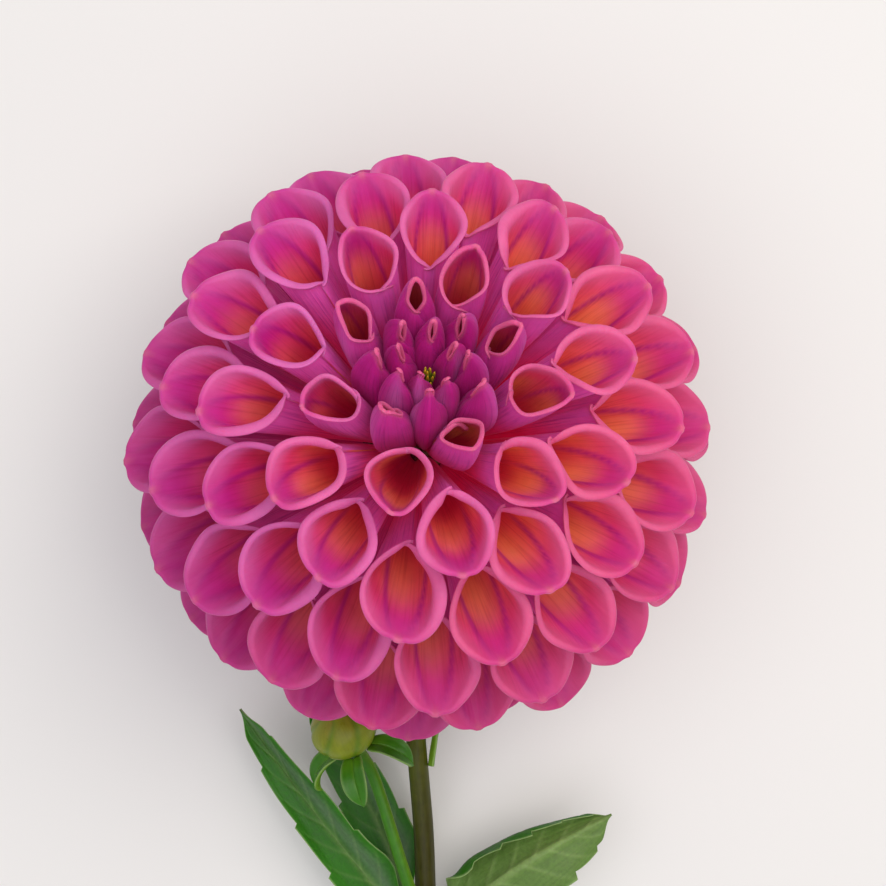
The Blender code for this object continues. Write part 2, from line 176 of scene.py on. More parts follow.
def bump(x, width):
    """A bell of height 1: e^-(x / width)^2."""
    return np.exp(-((x / width) ** 2))


# Each use of a floret's scatter has a number of its own, so that none follows another.
(IN_POLAR, IN_AZIMUTH, IN_REACH, IN_CURL, IN_CORNER, IN_WEDGE, IN_DROP, IN_RUFFLE,
 IN_RIPPLE, IN_WARMTH, IN_STRIPES, IN_LIFT, IN_SKEW, IN_BLUSH, IN_SHEEN, IN_NIB) = range(1, 17)


def jitter(index, kind):
    """A fixed scatter from -1 to 1 for each floret and each use."""
    value = math.sin(index * 12.9898 + kind * 78.233) * 43758.5453
    return 2 * (value - math.floor(value)) - 1


def blended(colour, other, share):
    """The first colour turned into the other by a share, either one number or one for each point."""
    return colour + (other - colour) * np.asarray(share)[..., None]


def opaque(colour):
    """Colours of points with a fourth channel of ones."""
    return np.concatenate([colour, np.ones((*colour.shape[:-1], 1))], -1)


def run_length(path):
    """How far along the path each of its points is, counting 10 mm to the unit."""
    steps = np.linalg.norm(np.diff(path, axis=0), axis=1)
    return np.concatenate([[0], np.cumsum(steps)]) / PATTERN_UNIT


def smooth_path(controls, count):
    """A Catmull-Rom curve through the controls, read at equal steps of its parameter."""
    controls = np.asarray(controls, float)
    ends = np.vstack([2 * controls[0] - controls[1], controls, 2 * controls[-1] - controls[-2]])
    t = np.linspace(0, len(controls) - 1 - 1e-9, count)
    k = t.astype(int)
    f = (t - k)[:, None]
    a, b, c, d = ends[k], ends[k + 1], ends[k + 2], ends[k + 3]
    return 0.5 * (2 * b + (c - a) * f + (2 * a - 5 * b + 4 * c - d) * f**2 + (3 * b - a - 3 * c + d) * f**3)


# ------------ meshes


def placed(name, data):
    """A new object in the scene."""
    item = bpy.data.objects.new(name, data)
    bpy.context.scene.collection.objects.link(item)
    return item


def faced_out(points, uv, colours):
    """A closed grid, turned the other way round if its squares enclose a negative volume."""
    a = points - points.mean((0, 1))
    b = np.roll(a, -1, axis=1)
    volume = np.einsum("ijk,ijk->", np.cross(a[:-1], b[:-1]), b[1:]) + np.einsum(
        "ijk,ijk->", np.cross(a[:-1], b[1:]), a[1:]
    )
    if volume >= 0:
        return points, uv, colours
    turned = {key: np.roll(colour[:, ::-1], 1, axis=1) for key, colour in colours.items()}
    return np.roll(points[:, ::-1], 1, axis=1), uv[:, ::-1], turned


def sheet(name, parts, nodes, materials, closed=False, wall=0.0):
    """A piece from grids of points. Square (i, j) joins points (i, j), (i, j+1), (i+1, j+1) and (i+1, j).

    Each part is a grid of points, its grid of pattern coordinates, and its painted colours by name. On a
    closed one the last column joins the first, and each end row has a fan round its middle. With a wall the
    sheet gets that thickness on its inner side, in the second material.
    """
    vertices, faces, coordinates, painted = [], [], [], {}
    start = 0
    near, far = slice(None, -1), slice(1, None)
    corners = ((near, near), (near, far), (far, far), (far, near))
    for points, uv, colours in parts:
        if closed:
            points, uv, colours = faced_out(points, uv, colours)
        rows, columns = points.shape[:2]
        index = start + np.arange(rows * columns).reshape(rows, columns)
        if closed:
            index = np.hstack([index, index[:, :1]])
        faces += np.stack([index[c] for c in corners], -1).reshape(-1, 4).tolist()
        coordinates.append(np.stack([uv[c] for c in corners], -2).reshape(-1, 2))
        ends = (0, -1) if closed else ()
        for order, row in enumerate(ends):
            way = 1 if row else -1
            ring = index[row][::way]
            edge = uv[row][::way]
            middle = np.full(len(ring) - 1, start + rows * columns + order)
            faces += np.stack([middle, ring[:-1], ring[1:]], -1).tolist()
            between = (edge[1:] + edge[:-1]) / 2
            coordinates.append(np.stack([between, edge[:-1], edge[1:]], -2).reshape(-1, 2))
        for key, colour in colours.items():
            shades = [colour.reshape(-1, 4)] + [colour[row].mean(0)[None] for row in ends]
            painted.setdefault(key, []).append(np.vstack(shades))
        grown = np.vstack([points.reshape(-1, 3)] + [points[row].mean(0)[None] for row in ends])
        vertices.append(grown)
        start += len(grown)
    mesh = bpy.data.meshes.new(name)
    mesh.from_pydata(np.vstack(vertices).tolist(), [], faces)
    growth = mesh.uv_layers.new(name="growth")
    growth.data.foreach_set("uv", np.vstack(coordinates).astype(np.float32).ravel())
    for key, colour in painted.items():
        layer = mesh.color_attributes.new(name=key, type="FLOAT_COLOR", domain="POINT")
        layer.data.foreach_set("color", np.vstack(colour).astype(np.float32).ravel())
    mesh.shade_smooth()
    for material in materials:
        mesh.materials.append(material)
    mesh.update()
    piece = placed(name, mesh)
    if wall:
        solidify = piece.modifiers.new("Thickness", "SOLIDIFY")
        solidify.thickness = wall
        solidify.offset = -1
        solidify.material_offset = len(materials) - 1
        solidify.material_offset_rim = len(materials) - 1
    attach(piece, "root")
    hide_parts(*nodes)
    return piece


def square_to(path):
    """Two unit vectors square to a path at each point, the first as near to the sideways one as can be."""
    along = np.gradient(path, axis=0)
    along /= np.linalg.norm(along, axis=1)[:, None]
    across = SIDEWAYS - (along @ SIDEWAYS)[:, None] * along
    across /= np.linalg.norm(across, axis=1)[:, None]
    return across, np.cross(along, across)


def rod(path, radii, sides, paint, ribs=0.0):
    """A round rod: each point of the path carries a circle of its radius, square to the path.

    Its ribs make the circle wider by a share of the radius, five times round. Paint gives the colour from
    how far along the rod a point is (0 to 1) and from the turn round it.
    """
    turn = np.arange(sides + 1) * 2 * math.pi / sides
    across, up = square_to(path)
    radii = np.asarray(radii)[:, None] * (1 + ribs * np.cos(5 * turn[None, :-1]))
    circle = np.cos(turn[:-1])[None, :, None] * across[:, None]
    circle = circle + np.sin(turn[:-1])[None, :, None] * up[:, None]
    points = CENTRE + path[:, None] + radii[..., None] * circle
    uv = np.stack(np.broadcast_arrays(turn / (2 * math.pi), run_length(path)[:, None]), -1)
    share = np.linspace(0, 1, len(path))[:, None] * np.ones(sides)
    return points, uv, {"skin": opaque(paint(share, np.broadcast_to(turn[:-1], share.shape)))}


def once_round(up_left, up_right, low_right, low_left):
    """Four grids from rib to margin, joined from the left margin over the upper face and back below."""
    return np.hstack([up_left[:, :0:-1], up_right, low_right[:, ::-1], low_left[:, 1:]])


def blade(path, widths, up, fold, look, paint):
    """A leaf or bract along its midrib, closed all round: an upper face, a lower face and thin margins.

    Across the blade v runs from -1 to 1. Its slope is the fold, plus a roll near each margin, and the cross
    section is the running sum of steps that way. The margin is cut into teeth that lean towards the tip,
    side veins run forward from the rib, sunk above and raised below, and the rib is a ridge below.
    Paint gives the colour from u along, v across and whether the face is the upper one.
    """
    half = look["columns"]
    u = np.linspace(0, 1, len(path))[:, None]
    v = np.linspace(0, 1, half)[None, :]
    along = np.gradient(path, axis=0)
    along /= np.linalg.norm(along, axis=1)[:, None]
    side = np.cross(along, up)
    side /= np.linalg.norm(side, axis=1)[:, None]
    lift = np.cross(side, along)
    widths = np.asarray(widths)[:, None]
    faces = {}
    for sign, roll in ((-1, look["roll"][0]), (1, look["roll"][1])):
        saw = (u * look["teeth"] + 0.35 * (sign < 0)) % 1.0
        toothed = ease((u - 0.18) / 0.2) * (1 - ease((u - 0.93) / 0.07))
        tooth = 1 - look["tooth_depth"] * (1 - saw**0.8) * toothed
        rolled = ease((u - 0.08) / 0.2) * (1 - ease((u - 0.9) / 0.1))
        angle = fold[:, None] + roll * ease((v - 0.5) / 0.28) * rolled
        angle = angle + look["wave"] * np.sin(u * 17 + sign) * v
        step = widths * (1 + (tooth - 1) * ease((v - 0.6) / 0.4)) / (half - 1)
        start = np.zeros((len(path), 1))
        run = np.hstack([start, np.cumsum((step * np.cos(angle))[:, 1:], axis=1)])
        rise = np.hstack([start, np.cumsum((step * np.sin(angle))[:, 1:], axis=1)])
        vein = (u * look["veins"] - v * look["vein_slant"] + 0.5 * (sign < 0)) % 1.0
        vein = bump(np.minimum(vein, 1 - vein), 0.09) * (1 - v) ** 0.5 * ease((u - 0.12) / 0.1)
        rib = bump(v * widths, look["rib"]) * (1 - 0.7 * u)
        thin = look["thickness"] / 2 * (1 - 0.75 * v**3)
        normal = np.cos(angle)[..., None] * lift[:, None] - sign * np.sin(angle)[..., None] * side[:, None]
        flat = path[:, None] + sign * run[..., None] * side[:, None] + rise[..., None] * lift[:, None]
        upper = flat + (thin - 0.35 * look["relief"] * vein - 0.25 * look["rib"] * rib)[..., None] * normal
        lower = flat - (thin + 0.35 * look["relief"] * vein + 0.8 * look["rib"] * rib)[..., None] * normal
        place = np.broadcast_arrays(u, sign * v)
        coats = [paint(*place, vein, rib, face) for face in (True, False)]
        faces[sign] = (upper, lower, *coats)
    left, right = faces[-1], faces[1]
    points = once_round(left[0], right[0], right[1], left[1])
    colour = once_round(left[2], right[2], right[3], left[3])
    round_it = np.abs(np.linspace(-1, 1, points.shape[1] + 1)) * 2 * look["breadth"] / PATTERN_UNIT
    uv = np.stack(np.broadcast_arrays(round_it[None, :], run_length(path)[:, None]), -1)
    return CENTRE + points, uv, {"skin": opaque(colour)}


# ------------ materials


def add(tree, kind, settings=None, **links):
    """Adds a node. Settings are its properties. Links are its inputs, by name or as i and a number."""
    node = tree.nodes.new(kind)
    for key, value in (settings or {}).items():
        setattr(node, key, value)
    for key, value in links.items():
        numbered = key[0] == "i" and key[1:].isdigit()
        slot = node.inputs[int(key[1:]) if numbered else key.replace("_", " ")]
        if isinstance(value, bpy.types.NodeSocket):
            tree.links.new(value, slot)
        else:
            slot.default_value = value
    return node


def skin(name, roughness, **values):
    """A new material with its Principled shader, on which the values that are alike all over are set."""
    material = bpy.data.materials.new(name)
    material.use_nodes = True
    tree = material.node_tree
    shader = tree.nodes["Principled BSDF"]
    shader.inputs["Roughness"].default_value = roughness
    for key, value in values.items():
        shader.inputs[key.replace("_", " ")].default_value = value
    return material, tree, shader


def petal_tissue(name, colour, vein, vein_share, relief, sheen):
    """Living petal: satin, a little translucent, with fine veins that run from foot to tip."""
    material, tree, shader = skin(
        name, 0.48, Subsurface_Weight=0.35, Subsurface_Radius=(1.0, 0.2, 0.35), Subsurface_Scale=1.6 * MM,
        Sheen_Weight=sheen, Sheen_Roughness=0.45, Sheen_Tint=rgba("#F2B8E8"), Specular_IOR_Level=0.22,
    )
    face = add(tree, "ShaderNodeAttribute", {"attribute_name": colour})
    painted = face.outputs["Color"]
    growth = add(tree, "ShaderNodeUVMap", {"uv_map": "growth"}).outputs["UV"]
    # A petal 40 mm round has a vein about every 0.5 mm, and each runs nearly the whole length.
    stretched = add(tree, "ShaderNodeMapping", Vector=growth, Scale=(70, 2.2, 1)).outputs["Vector"]
    fibre = add(tree, "ShaderNodeTexNoise", Vector=stretched, Scale=1.0, Detail=2.0, Distortion=0.3)
    lines = add(
        tree, "ShaderNodeMapRange", {"clamp": True}, i0=fibre.outputs["Fac"], i1=0.48, i2=0.72, i3=0.0, i4=1.0
    ).outputs[0]
    mottle = add(tree, "ShaderNodeTexNoise", Vector=growth, Scale=9.0, Detail=3.0).outputs["Fac"]
    cells = add(tree, "ShaderNodeMapRange", i0=mottle, i1=0.3, i2=0.7, i3=0.93, i4=1.06).outputs[0]
    times = {"operation": "MULTIPLY"}
    away = add(tree, "ShaderNodeMath", times, i0=lines, i1=face.outputs["Alpha"]).outputs[0]
    share = add(tree, "ShaderNodeMath", times, i0=away, i1=vein_share).outputs[0]
    darken = {"data_type": "RGBA", "blend_type": "MULTIPLY"}
    veined = add(tree, "ShaderNodeMix", darken, i0=share, i6=painted, i7=rgba(vein)).outputs[2]
    value = add(tree, "ShaderNodeHueSaturation", Color=veined, Value=cells).outputs[0]
    tree.links.new(value, shader.inputs["Base Color"])
    # A faint painted glow in the petals' own colour stands in for the light that thin petals let through to
    # each other, which keeps the red in the depth of the bloom.
    tree.links.new(value, shader.inputs["Emission Color"])
    shader.inputs["Emission Strength"].default_value = THROUGH_LIGHT
    ridge = add(tree, "ShaderNodeBump", Height=fibre.outputs["Fac"], Strength=relief, Distance=0.25 * MM)
    tree.links.new(ridge.outputs[0], shader.inputs["Normal"])
    return material


PETAL_INSIDE = petal_tissue(
    "Petal tissue, inner face", "inner_face", vein="#B00A62", vein_share=0.3, relief=0.4, sheen=0.06
)
PETAL_OUTSIDE = petal_tissue(
    "Petal tissue, outer face", "outer_face", vein="#A83CB4", vein_share=0.5, relief=0.5, sheen=0.1
)


def green_tissue(name, roughness, coat, streak, mottle, contrast, relief):
    """Plant skin: a waxy film over its painted colour, streaked along, with a mottle of lighter cells."""
    material, tree, shader = skin(
        name, roughness, Coat_Weight=coat, Coat_Roughness=0.35, Specular_IOR_Level=0.18,
        Subsurface_Weight=0.12, Subsurface_Radius=(0.3, 1.0, 0.1), Subsurface_Scale=0.8 * MM,
    )
    painted = add(tree, "ShaderNodeAttribute", {"attribute_name": "skin"}).outputs["Color"]
    growth = add(tree, "ShaderNodeUVMap", {"uv_map": "growth"}).outputs["UV"]
    finest = PATTERN_UNIT / streak
    stretched = add(tree, "ShaderNodeMapping", Vector=growth, Scale=(finest, finest / 12, 1)).outputs[0]
    streaks = add(tree, "ShaderNodeTexNoise", Vector=stretched, Scale=1.0, Detail=3.0).outputs["Fac"]
    place = add(tree, "ShaderNodeTexCoord").outputs["Object"]
    cells = add(tree, "ShaderNodeTexNoise", Vector=place, Scale=1 / mottle, Detail=4.0).outputs["Fac"]
    both = add(tree, "ShaderNodeMath", {"operation": "ADD"}, i0=streaks, i1=cells).outputs[0]
    low, high = 1 - contrast, 1 + contrast
    value = add(tree, "ShaderNodeMapRange", i0=both, i1=0.7, i2=1.3, i3=low, i4=high).outputs[0]
    coloured = add(tree, "ShaderNodeHueSaturation", Color=painted, Value=value).outputs[0]
    tree.links.new(coloured, shader.inputs["Base Color"])
    smooth, rough = roughness - 0.08, roughness + 0.1
    gloss = add(tree, "ShaderNodeMapRange", i0=cells, i1=0.3, i2=0.7, i3=smooth, i4=rough)
    tree.links.new(gloss.outputs[0], shader.inputs["Roughness"])
    grain = add(tree, "ShaderNodeBump", Height=both, Strength=0.6, Distance=relief)
    tree.links.new(grain.outputs[0], shader.inputs["Normal"])
    return material


# A leaf is satin with a fine cell grain, a stem is streaked along, and bracts are thick, smooth and waxy.
LEAF_SKIN = green_tissue(
    "Leaf skin", roughness=0.44, coat=0.08, streak=0.9 * MM, mottle=0.7 * MM, contrast=0.16, relief=0.12 * MM
)
STEM_SKIN = green_tissue(
    "Stem skin", roughness=0.4, coat=0.12, streak=0.35 * MM, mottle=1.5 * MM, contrast=0.2, relief=0.08 * MM
)
BRACT_SKIN = green_tissue(
    "Bract flesh", roughness=0.34, coat=0.2, streak=0.5 * MM, mottle=1.2 * MM, contrast=0.1,
    relief=0.05 * MM,
)


def receptacle_flesh():
    """Spongy flesh under the florets, olive and plum, with scars about 2 mm wide where they sit."""
    material, tree, shader = skin("Receptacle flesh", 0.6, Subsurface_Weight=0.1, Subsurface_Scale=1 * MM)
    place = add(tree, "ShaderNodeTexCoord").outputs["Object"]
    scars = add(tree, "ShaderNodeTexVoronoi", {"feature": "DISTANCE_TO_EDGE"}, Vector=place, Scale=500.0)
    rim = add(tree, "ShaderNodeMapRange", i0=scars.outputs["Distance"], i1=0.02, i2=0.2).outputs[0]
    tone = add(
        tree, "ShaderNodeMix", {"data_type": "RGBA"}, i0=rim, i6=rgba("#5A3038"), i7=rgba("#8C7A52")
    ).outputs[2]
    tree.links.new(tone, shader.inputs["Base Color"])
    pit = add(tree, "ShaderNodeBump", Height=rim, Strength=0.7, Distance=0.3 * MM)
    tree.links.new(pit.outputs[0], shader.inputs["Normal"])
    return material


RECEPTACLE_FLESH = receptacle_flesh()


# ------------ layout, as in the solids


def angular_width(polar):
    return HEART_WIDTH + (FULL_WIDTH - HEART_WIDTH) * (1 - math.exp(-((polar / WIDTH_RISE) ** 1.6)))


def tip_distance(polar):
    heart = HEART_REACH + (1 - HEART_REACH) * ease(polar / math.radians(38))
    back = 1 - (1 - BACK_SHARE) * ease((polar - math.radians(95)) / math.radians(55))
    return BLOOM_RADIUS * heart * back


def direction(polar, azimuth):
    outward = math.cos(azimuth) * SIDEWAYS + math.sin(azimuth) * UPWARD
    return math.cos(polar) * AXIS + math.sin(polar) * outward


class Floret:
    """Where one floret stands: its direction, the way its tip leans, its width and its reach."""

    def __init__(self, index, polar):
        self.index = index
        self.width = angular_width(polar)
        polar += SCATTER * self.width * jitter(index, IN_POLAR)
        azimuth = PATTERN_TURN + index * GOLDEN_ANGLE
        azimuth += SCATTER * self.width / math.sin(polar) * jitter(index, IN_AZIMUTH)
        self.polar = polar
        self.azimuth = azimuth
        self.out = direction(polar, azimuth)
        self.lean = direction(polar + math.pi / 2, azimuth)
        self.side = np.cross(self.out, self.lean)
        self.reach = tip_distance(polar) * (1 + REACH_SCATTER * jitter(index, IN_REACH))
        self.mouth = 2 * self.reach * math.tan(self.width / 2)

    def node(self):
        """The solid that this floret is part of."""
        if self.index < HEART_COUNT:
            return f"heart_floret_{self.index + 1:02d}"
        row = (self.index - HEART_COUNT) % ROW_STEP + 1
        return f"floret_row_{row:02d}_{'front' if self.index < FRONT_END else 'back'}"


def spiral():
    """Each floret is one golden angle on, and takes its own hexagonal share of the ball's surface."""
    florets = []
    polar = FIRST_POLAR
    while polar < LAST_POLAR:
        florets.append(Floret(len(florets), polar))
        polar = math.acos(math.cos(polar) - HEXAGON * angular_width(polar) ** 2 / (2 * math.pi))
    return florets


def stem_path():
    """From the receptacle: a bend of one radius, then a long easy run down to the surface."""
    points = []
    for turn in np.linspace(0, math.pi / 2 - BLOOM_TILT - 0.06, 9):
        inside = NECK_BEND * (1 - math.cos(turn)) * -UPWARD
        points.append(-AXIS * FOOT + inside - NECK_BEND * math.sin(turn) * AXIS)
    bend_end = points[-1]
    end = np.array([1.5 * MM, -STEM_REACH, STEM_RADIUS + 0.1 * MM - CENTRE[2]])
    controls = [bend_end]
    for share, side, rise in ((0.25, -1.0, 0.6), (0.5, 0.2, 0.3), (0.75, -0.4, 0.0)):
        controls.append(bend_end + share * (end - bend_end) + np.array([side * MM, 0, rise * MM]))
    controls.append(end)
    return np.vstack([points[:-1], smooth_path(controls, 14)])


def stem_walls(floret, path):
    """Normals of planes that keep a floret off the bent stem, or None where the stem has its place."""
    normals = []
    for point in path:
        distance = np.linalg.norm(point)
        if not FOOT + 3 * MM < distance < floret.reach + 6 * MM:
            continue
        towards = point / distance
        angle = math.acos(min(1.0, floret.out @ towards))
        thickness = math.asin((STEM_RADIUS + 0.6 * MM) / distance)
        if angle < thickness + LEAST_ROOM * floret.width:
            return None
        if angle < 1.2 * floret.width:
            across = unit(towards - (towards @ floret.out) * floret.out)
            edge = angle - thickness
            normals.append(math.cos(edge) * across - math.sin(edge) * floret.out)
    return normals


# ------------ the florets


def cell_outline(floret, walls, turn, rounding):
    """One over how wide the floret's cell is at each turn round it, to the power of the rounding.

    The width is the tangent of the angle from the cell's middle line. Each wall allows at most
    c / (a cos turn + b sin turn), and the sum of the powers gives a round outline inside all of them.
    """
    normals = np.array(walls)
    reach = np.outer(normals @ floret.lean, np.cos(turn)) + np.outer(normals @ floret.side, np.sin(turn))
    reach = np.clip(reach, 0, None)
    return np.sum((reach / -(normals @ floret.out)[:, None]) ** rounding, axis=0)


def crease(depth):
    """The turn, from the tip, at which a floret's two creases lie: 0.12 + (1 - e^(-1.5 depth))."""
    return 0.12 + (1 - np.exp(-1.5 * np.clip(depth, 0, None)))


def mouth_outline(floret, walls, turn, opened):
    """How wide the floret may be at each turn round it, as a share of the height.

    That is its cell, with a wedge of two more walls that gives the mouth its corner where the margins meet,
    and on a young floret another wedge at the tip. On some a curl draws both margins in, so that the mouth
    is heart-shaped.
    """
    index = floret.index
    furled = 1 - opened
    side = np.abs(turn)
    inner = math.pi - side
    tangent = math.tan(floret.width / 2)
    rounding = ROUND_OPEN + (ROUND_FURLED - ROUND_OPEN) * furled
    power = cell_outline(floret, walls, turn, rounding)
    corner = math.radians(V_CORNER + V_SCATTER * jitter(index, IN_CORNER))
    curl = 0.5 * max(0.0, jitter(index, IN_CURL)) * bump(floret.polar - CURL_POLAR, CURL_SPREAD)
    wedge = np.clip(np.cos(inner - corner), 0, None)
    wedge = wedge / (tangent * (0.97 + 0.06 * jitter(index, IN_WEDGE) + curl))
    young = bump(index - YOUNG_FLORET, YOUNG_SPREAD)
    point = np.clip(np.cos(side - TIP_CORNER), 0, None) / (tangent * 0.98)
    outline = CELL_SHARE * (power + opened * wedge**rounding + young * point**rounding) ** (-1 / rounding)
    outline *= 1 + 0.2 * furled + 0.12 * young
    outline *= 1 - curl * bump(inner, 0.42)
    blunt = 0.035 * bump(side, 0.4) - 0.02 * bump(side - 0.95, 0.4) - 0.008 * bump(side, 0.07)
    return outline * (1 - opened * blunt)


def lip_roll(floret, across, turn, opened):
    """The radius of the lip's roll: wider on an open floret, and thin at the tip and the margins."""
    skew = 0.5 * jitter(floret.index, IN_SKEW)
    flatter = 1 - 0.35 * ease((floret.polar - math.radians(30)) / math.radians(45))
    lip = 0.08 * MM + LIP_SHARE * floret.mouth * opened**3 * flatter
    lip = lip * (0.42 + 0.58 * np.sin(turn / 2 + 0.35) ** 2)
    lip *= (1 + skew * np.sin(turn)) * (1 - 0.75 * bump(np.abs(turn), 0.6))
    return lip * (1 - 0.8 * ease((np.abs(across) - 0.8) / 0.2))


def rim_height(floret, reach, turn, lip, opened):
    """How high the rim is: a nib at the tip, and from there down by (1 - cos turn) / 2 to the margins."""
    index = floret.index
    side = np.abs(turn)
    drop = floret.mouth * (0.42 + 0.16 * opened + 0.06 * jitter(index, IN_DROP) + 0.45 * (1 - opened))
    slant = ((1 - np.cos(np.minimum(side, math.pi))) / 2) ** 0.92
    slant = slant + 0.7 * np.clip(side - math.pi, 0, None) / math.pi
    rim = reach - lip * LIP_EASE * (1 - math.sin(LIP_START)) - 0.3 * MM - drop * slant
    nib = bump(side, 0.07) - 0.5 * bump(side - 0.2, 0.1)
    rim += nib * (0.18 + 0.15 * jitter(index, IN_NIB)) * MM
    ruffle = np.sin(3 * turn + 6 * jitter(index, IN_RUFFLE)) * (1 - bump(side, 0.5))
    rim += opened * 0.25 * MM * ruffle
    return rim - 1.0 * MM * opened * bump(math.pi - side, 0.25)


def floret_shape(floret, walls):
    """One floret: a sheet rolled into a tube, its mouth cut on the slant and its lip turned outwards.

    Turn goes round the tube, 0 at the tip's side, and both margins pass half a turn on the heart's side.
    Body rows rise from the foot to the rim. Their radius is the outline's width there times a share: an
    open floret widens to its mouth like a trumpet, a furled one swells and closes again to a hood, and its
    margins wind round each other. Lip rows follow an arc from the rim outwards and down.
    """
    index = floret.index
    opened = ease((index - OPEN_FROM) / OPEN_OVER)  # 0 furled, 1 open
    furled = 1 - opened
    across = np.linspace(-1, 1, COLUMNS)
    turn = math.pi * (OVERLAP + WINDING * furled) * (0.8 * across + 0.2 * across**3)
    side = np.abs(turn)
    outline = mouth_outline(floret, walls, turn, opened)
    lip = lip_roll(floret, across, turn, opened)
    reach = floret.reach + LIFT * jitter(index, IN_LIFT) * opened
    rim = rim_height(floret, reach, turn, lip, opened)

    # The body: the open floret's share of its cell by how far up the row is, the furled one's by height.
    body = (1 - (1 - np.linspace(0, 1, BODY_ROWS)) ** 1.3)[:, None]
    height = FOOT + (rim - FOOT) * body
    band = lip * (math.cos(LIP_START) - math.cos(LIP_TURN))
    at_rim = 1 - band / (outline * rim)
    flare = np.clip((body - 0.35) / 0.65, 0, 1)
    trumpet = 0.9 + (THROAT_SHARE - 0.9) * ease(body / 0.35)
    trumpet = trumpet + (at_rim - THROAT_SHARE) * (0.35 * flare + 0.65 * flare**2.2)
    mouth = 0.14 + 0.5 * ease((index - 9) / 12)
    closing = np.clip((body - 0.5) / 0.5, 0, 1)
    hood = (0.85 + 0.15 * ease(body / 0.4)) * np.sqrt(1 - (1 - mouth**2) * closing**2)
    radius = height * outline * (opened * trumpet + furled * hood)
    # Two folds run from the tip down into the throat, and part as they go.
    parted = crease((1 - body) * (rim - FOOT) / floret.mouth)
    fold = bump(side - parted, 0.11) * ease((body - 0.3) / 0.4) * (1 - 0.5 * bump(1 - body, 0.06))
    radius -= 0.055 * opened * radius * fold
    radius *= 1 + 0.012 * np.sin(5 * turn + 7 * body + 6 * jitter(index, IN_RIPPLE))

    # The lip: an arc that leaves the rim nearly straight up, drawn out tall so that it starts softly, and
    # turns outwards and down.
    arc = LIP_START + (np.linspace(0, 1, LIP_ROWS + 1)[1:] * (LIP_TURN - LIP_START))[:, None]
    radius = np.vstack([radius, radius[-1] + lip * (math.cos(LIP_START) - np.cos(arc))])
    crest = LIP_EASE * (np.sin(np.minimum(arc, math.pi / 2)) - math.sin(LIP_START))
    crest = crest - np.where(arc > math.pi / 2, 1 - np.sin(arc), 0)
    height = np.vstack([height, rim + lip * crest])
    # One margin goes under the other, by a winding on a furled floret and by a tuck on an open one.
    radius *= 1 - 0.11 * furled * (OVERLAP + WINDING - turn / math.pi)
    radius *= 1 - 0.13 * opened * ease((across - 0.8) / 0.2) * ease(1.4 - 2 * (math.pi - side))

    bend = floret.mouth * furled * (0.15 + 0.5 * ease(index / 7))
    lean = -bend * ((height - FOOT) / (reach - FOOT)) ** 3
    middle = height[..., None] * floret.out + lean[..., None] * floret.lean
    ring = np.cos(turn)[:, None] * floret.lean + np.sin(turn)[:, None] * floret.side
    points = CENTRE + middle + radius[..., None] * ring

    length = lip * (LIP_TURN - LIP_START)
    from_edge = np.vstack([(1 - body) * (rim - FOOT) + length, lip * (LIP_TURN - arc)])
    along = np.vstack([np.tile(body, COLUMNS), 1 + 0.08 * np.tile(arc, COLUMNS) / LIP_TURN])
    round_it = np.broadcast_to(turn / (2 * math.pi) + 0.5, along.shape)
    uv = np.stack([round_it + index * 0.37, along + index * 0.61], -1)
    return points, uv, turn, from_edge, opened


LILAC = linear("#CC68B0")
SALMON = linear("#DA5C84")
MAGENTA = linear("#B40C86")
CRIMSON = linear("#CC165E")
CORAL = linear("#F25A5C")
ORANGE = linear("#FA9450")
# Painted shade deep in a floret's tube, in a saturated red that also stands in for light bounced round it.
THROAT_SHADE = linear("#D41048")
# Red of the outsides towards the foot: partly the petal's own red, partly a painted glow of light bounced
# between the florets.
OUTER_PINK = linear("#DC54AC")
OUTER_GLOW_RED = linear("#F22062")
HEART_PURPLE = linear("#AC0A74")
# A painted sheen and painted shade for the young florets at the heart.
HEART_SHEEN = linear("#D678C8")
HEART_SHADE = linear("#92022E")
# Darker mauve for florets away from the key lamp: partly their own tone, partly painted shade.
MAUVE_SHADE = linear("#9A2466")
TIP_SPOT = linear("#E8B87A")


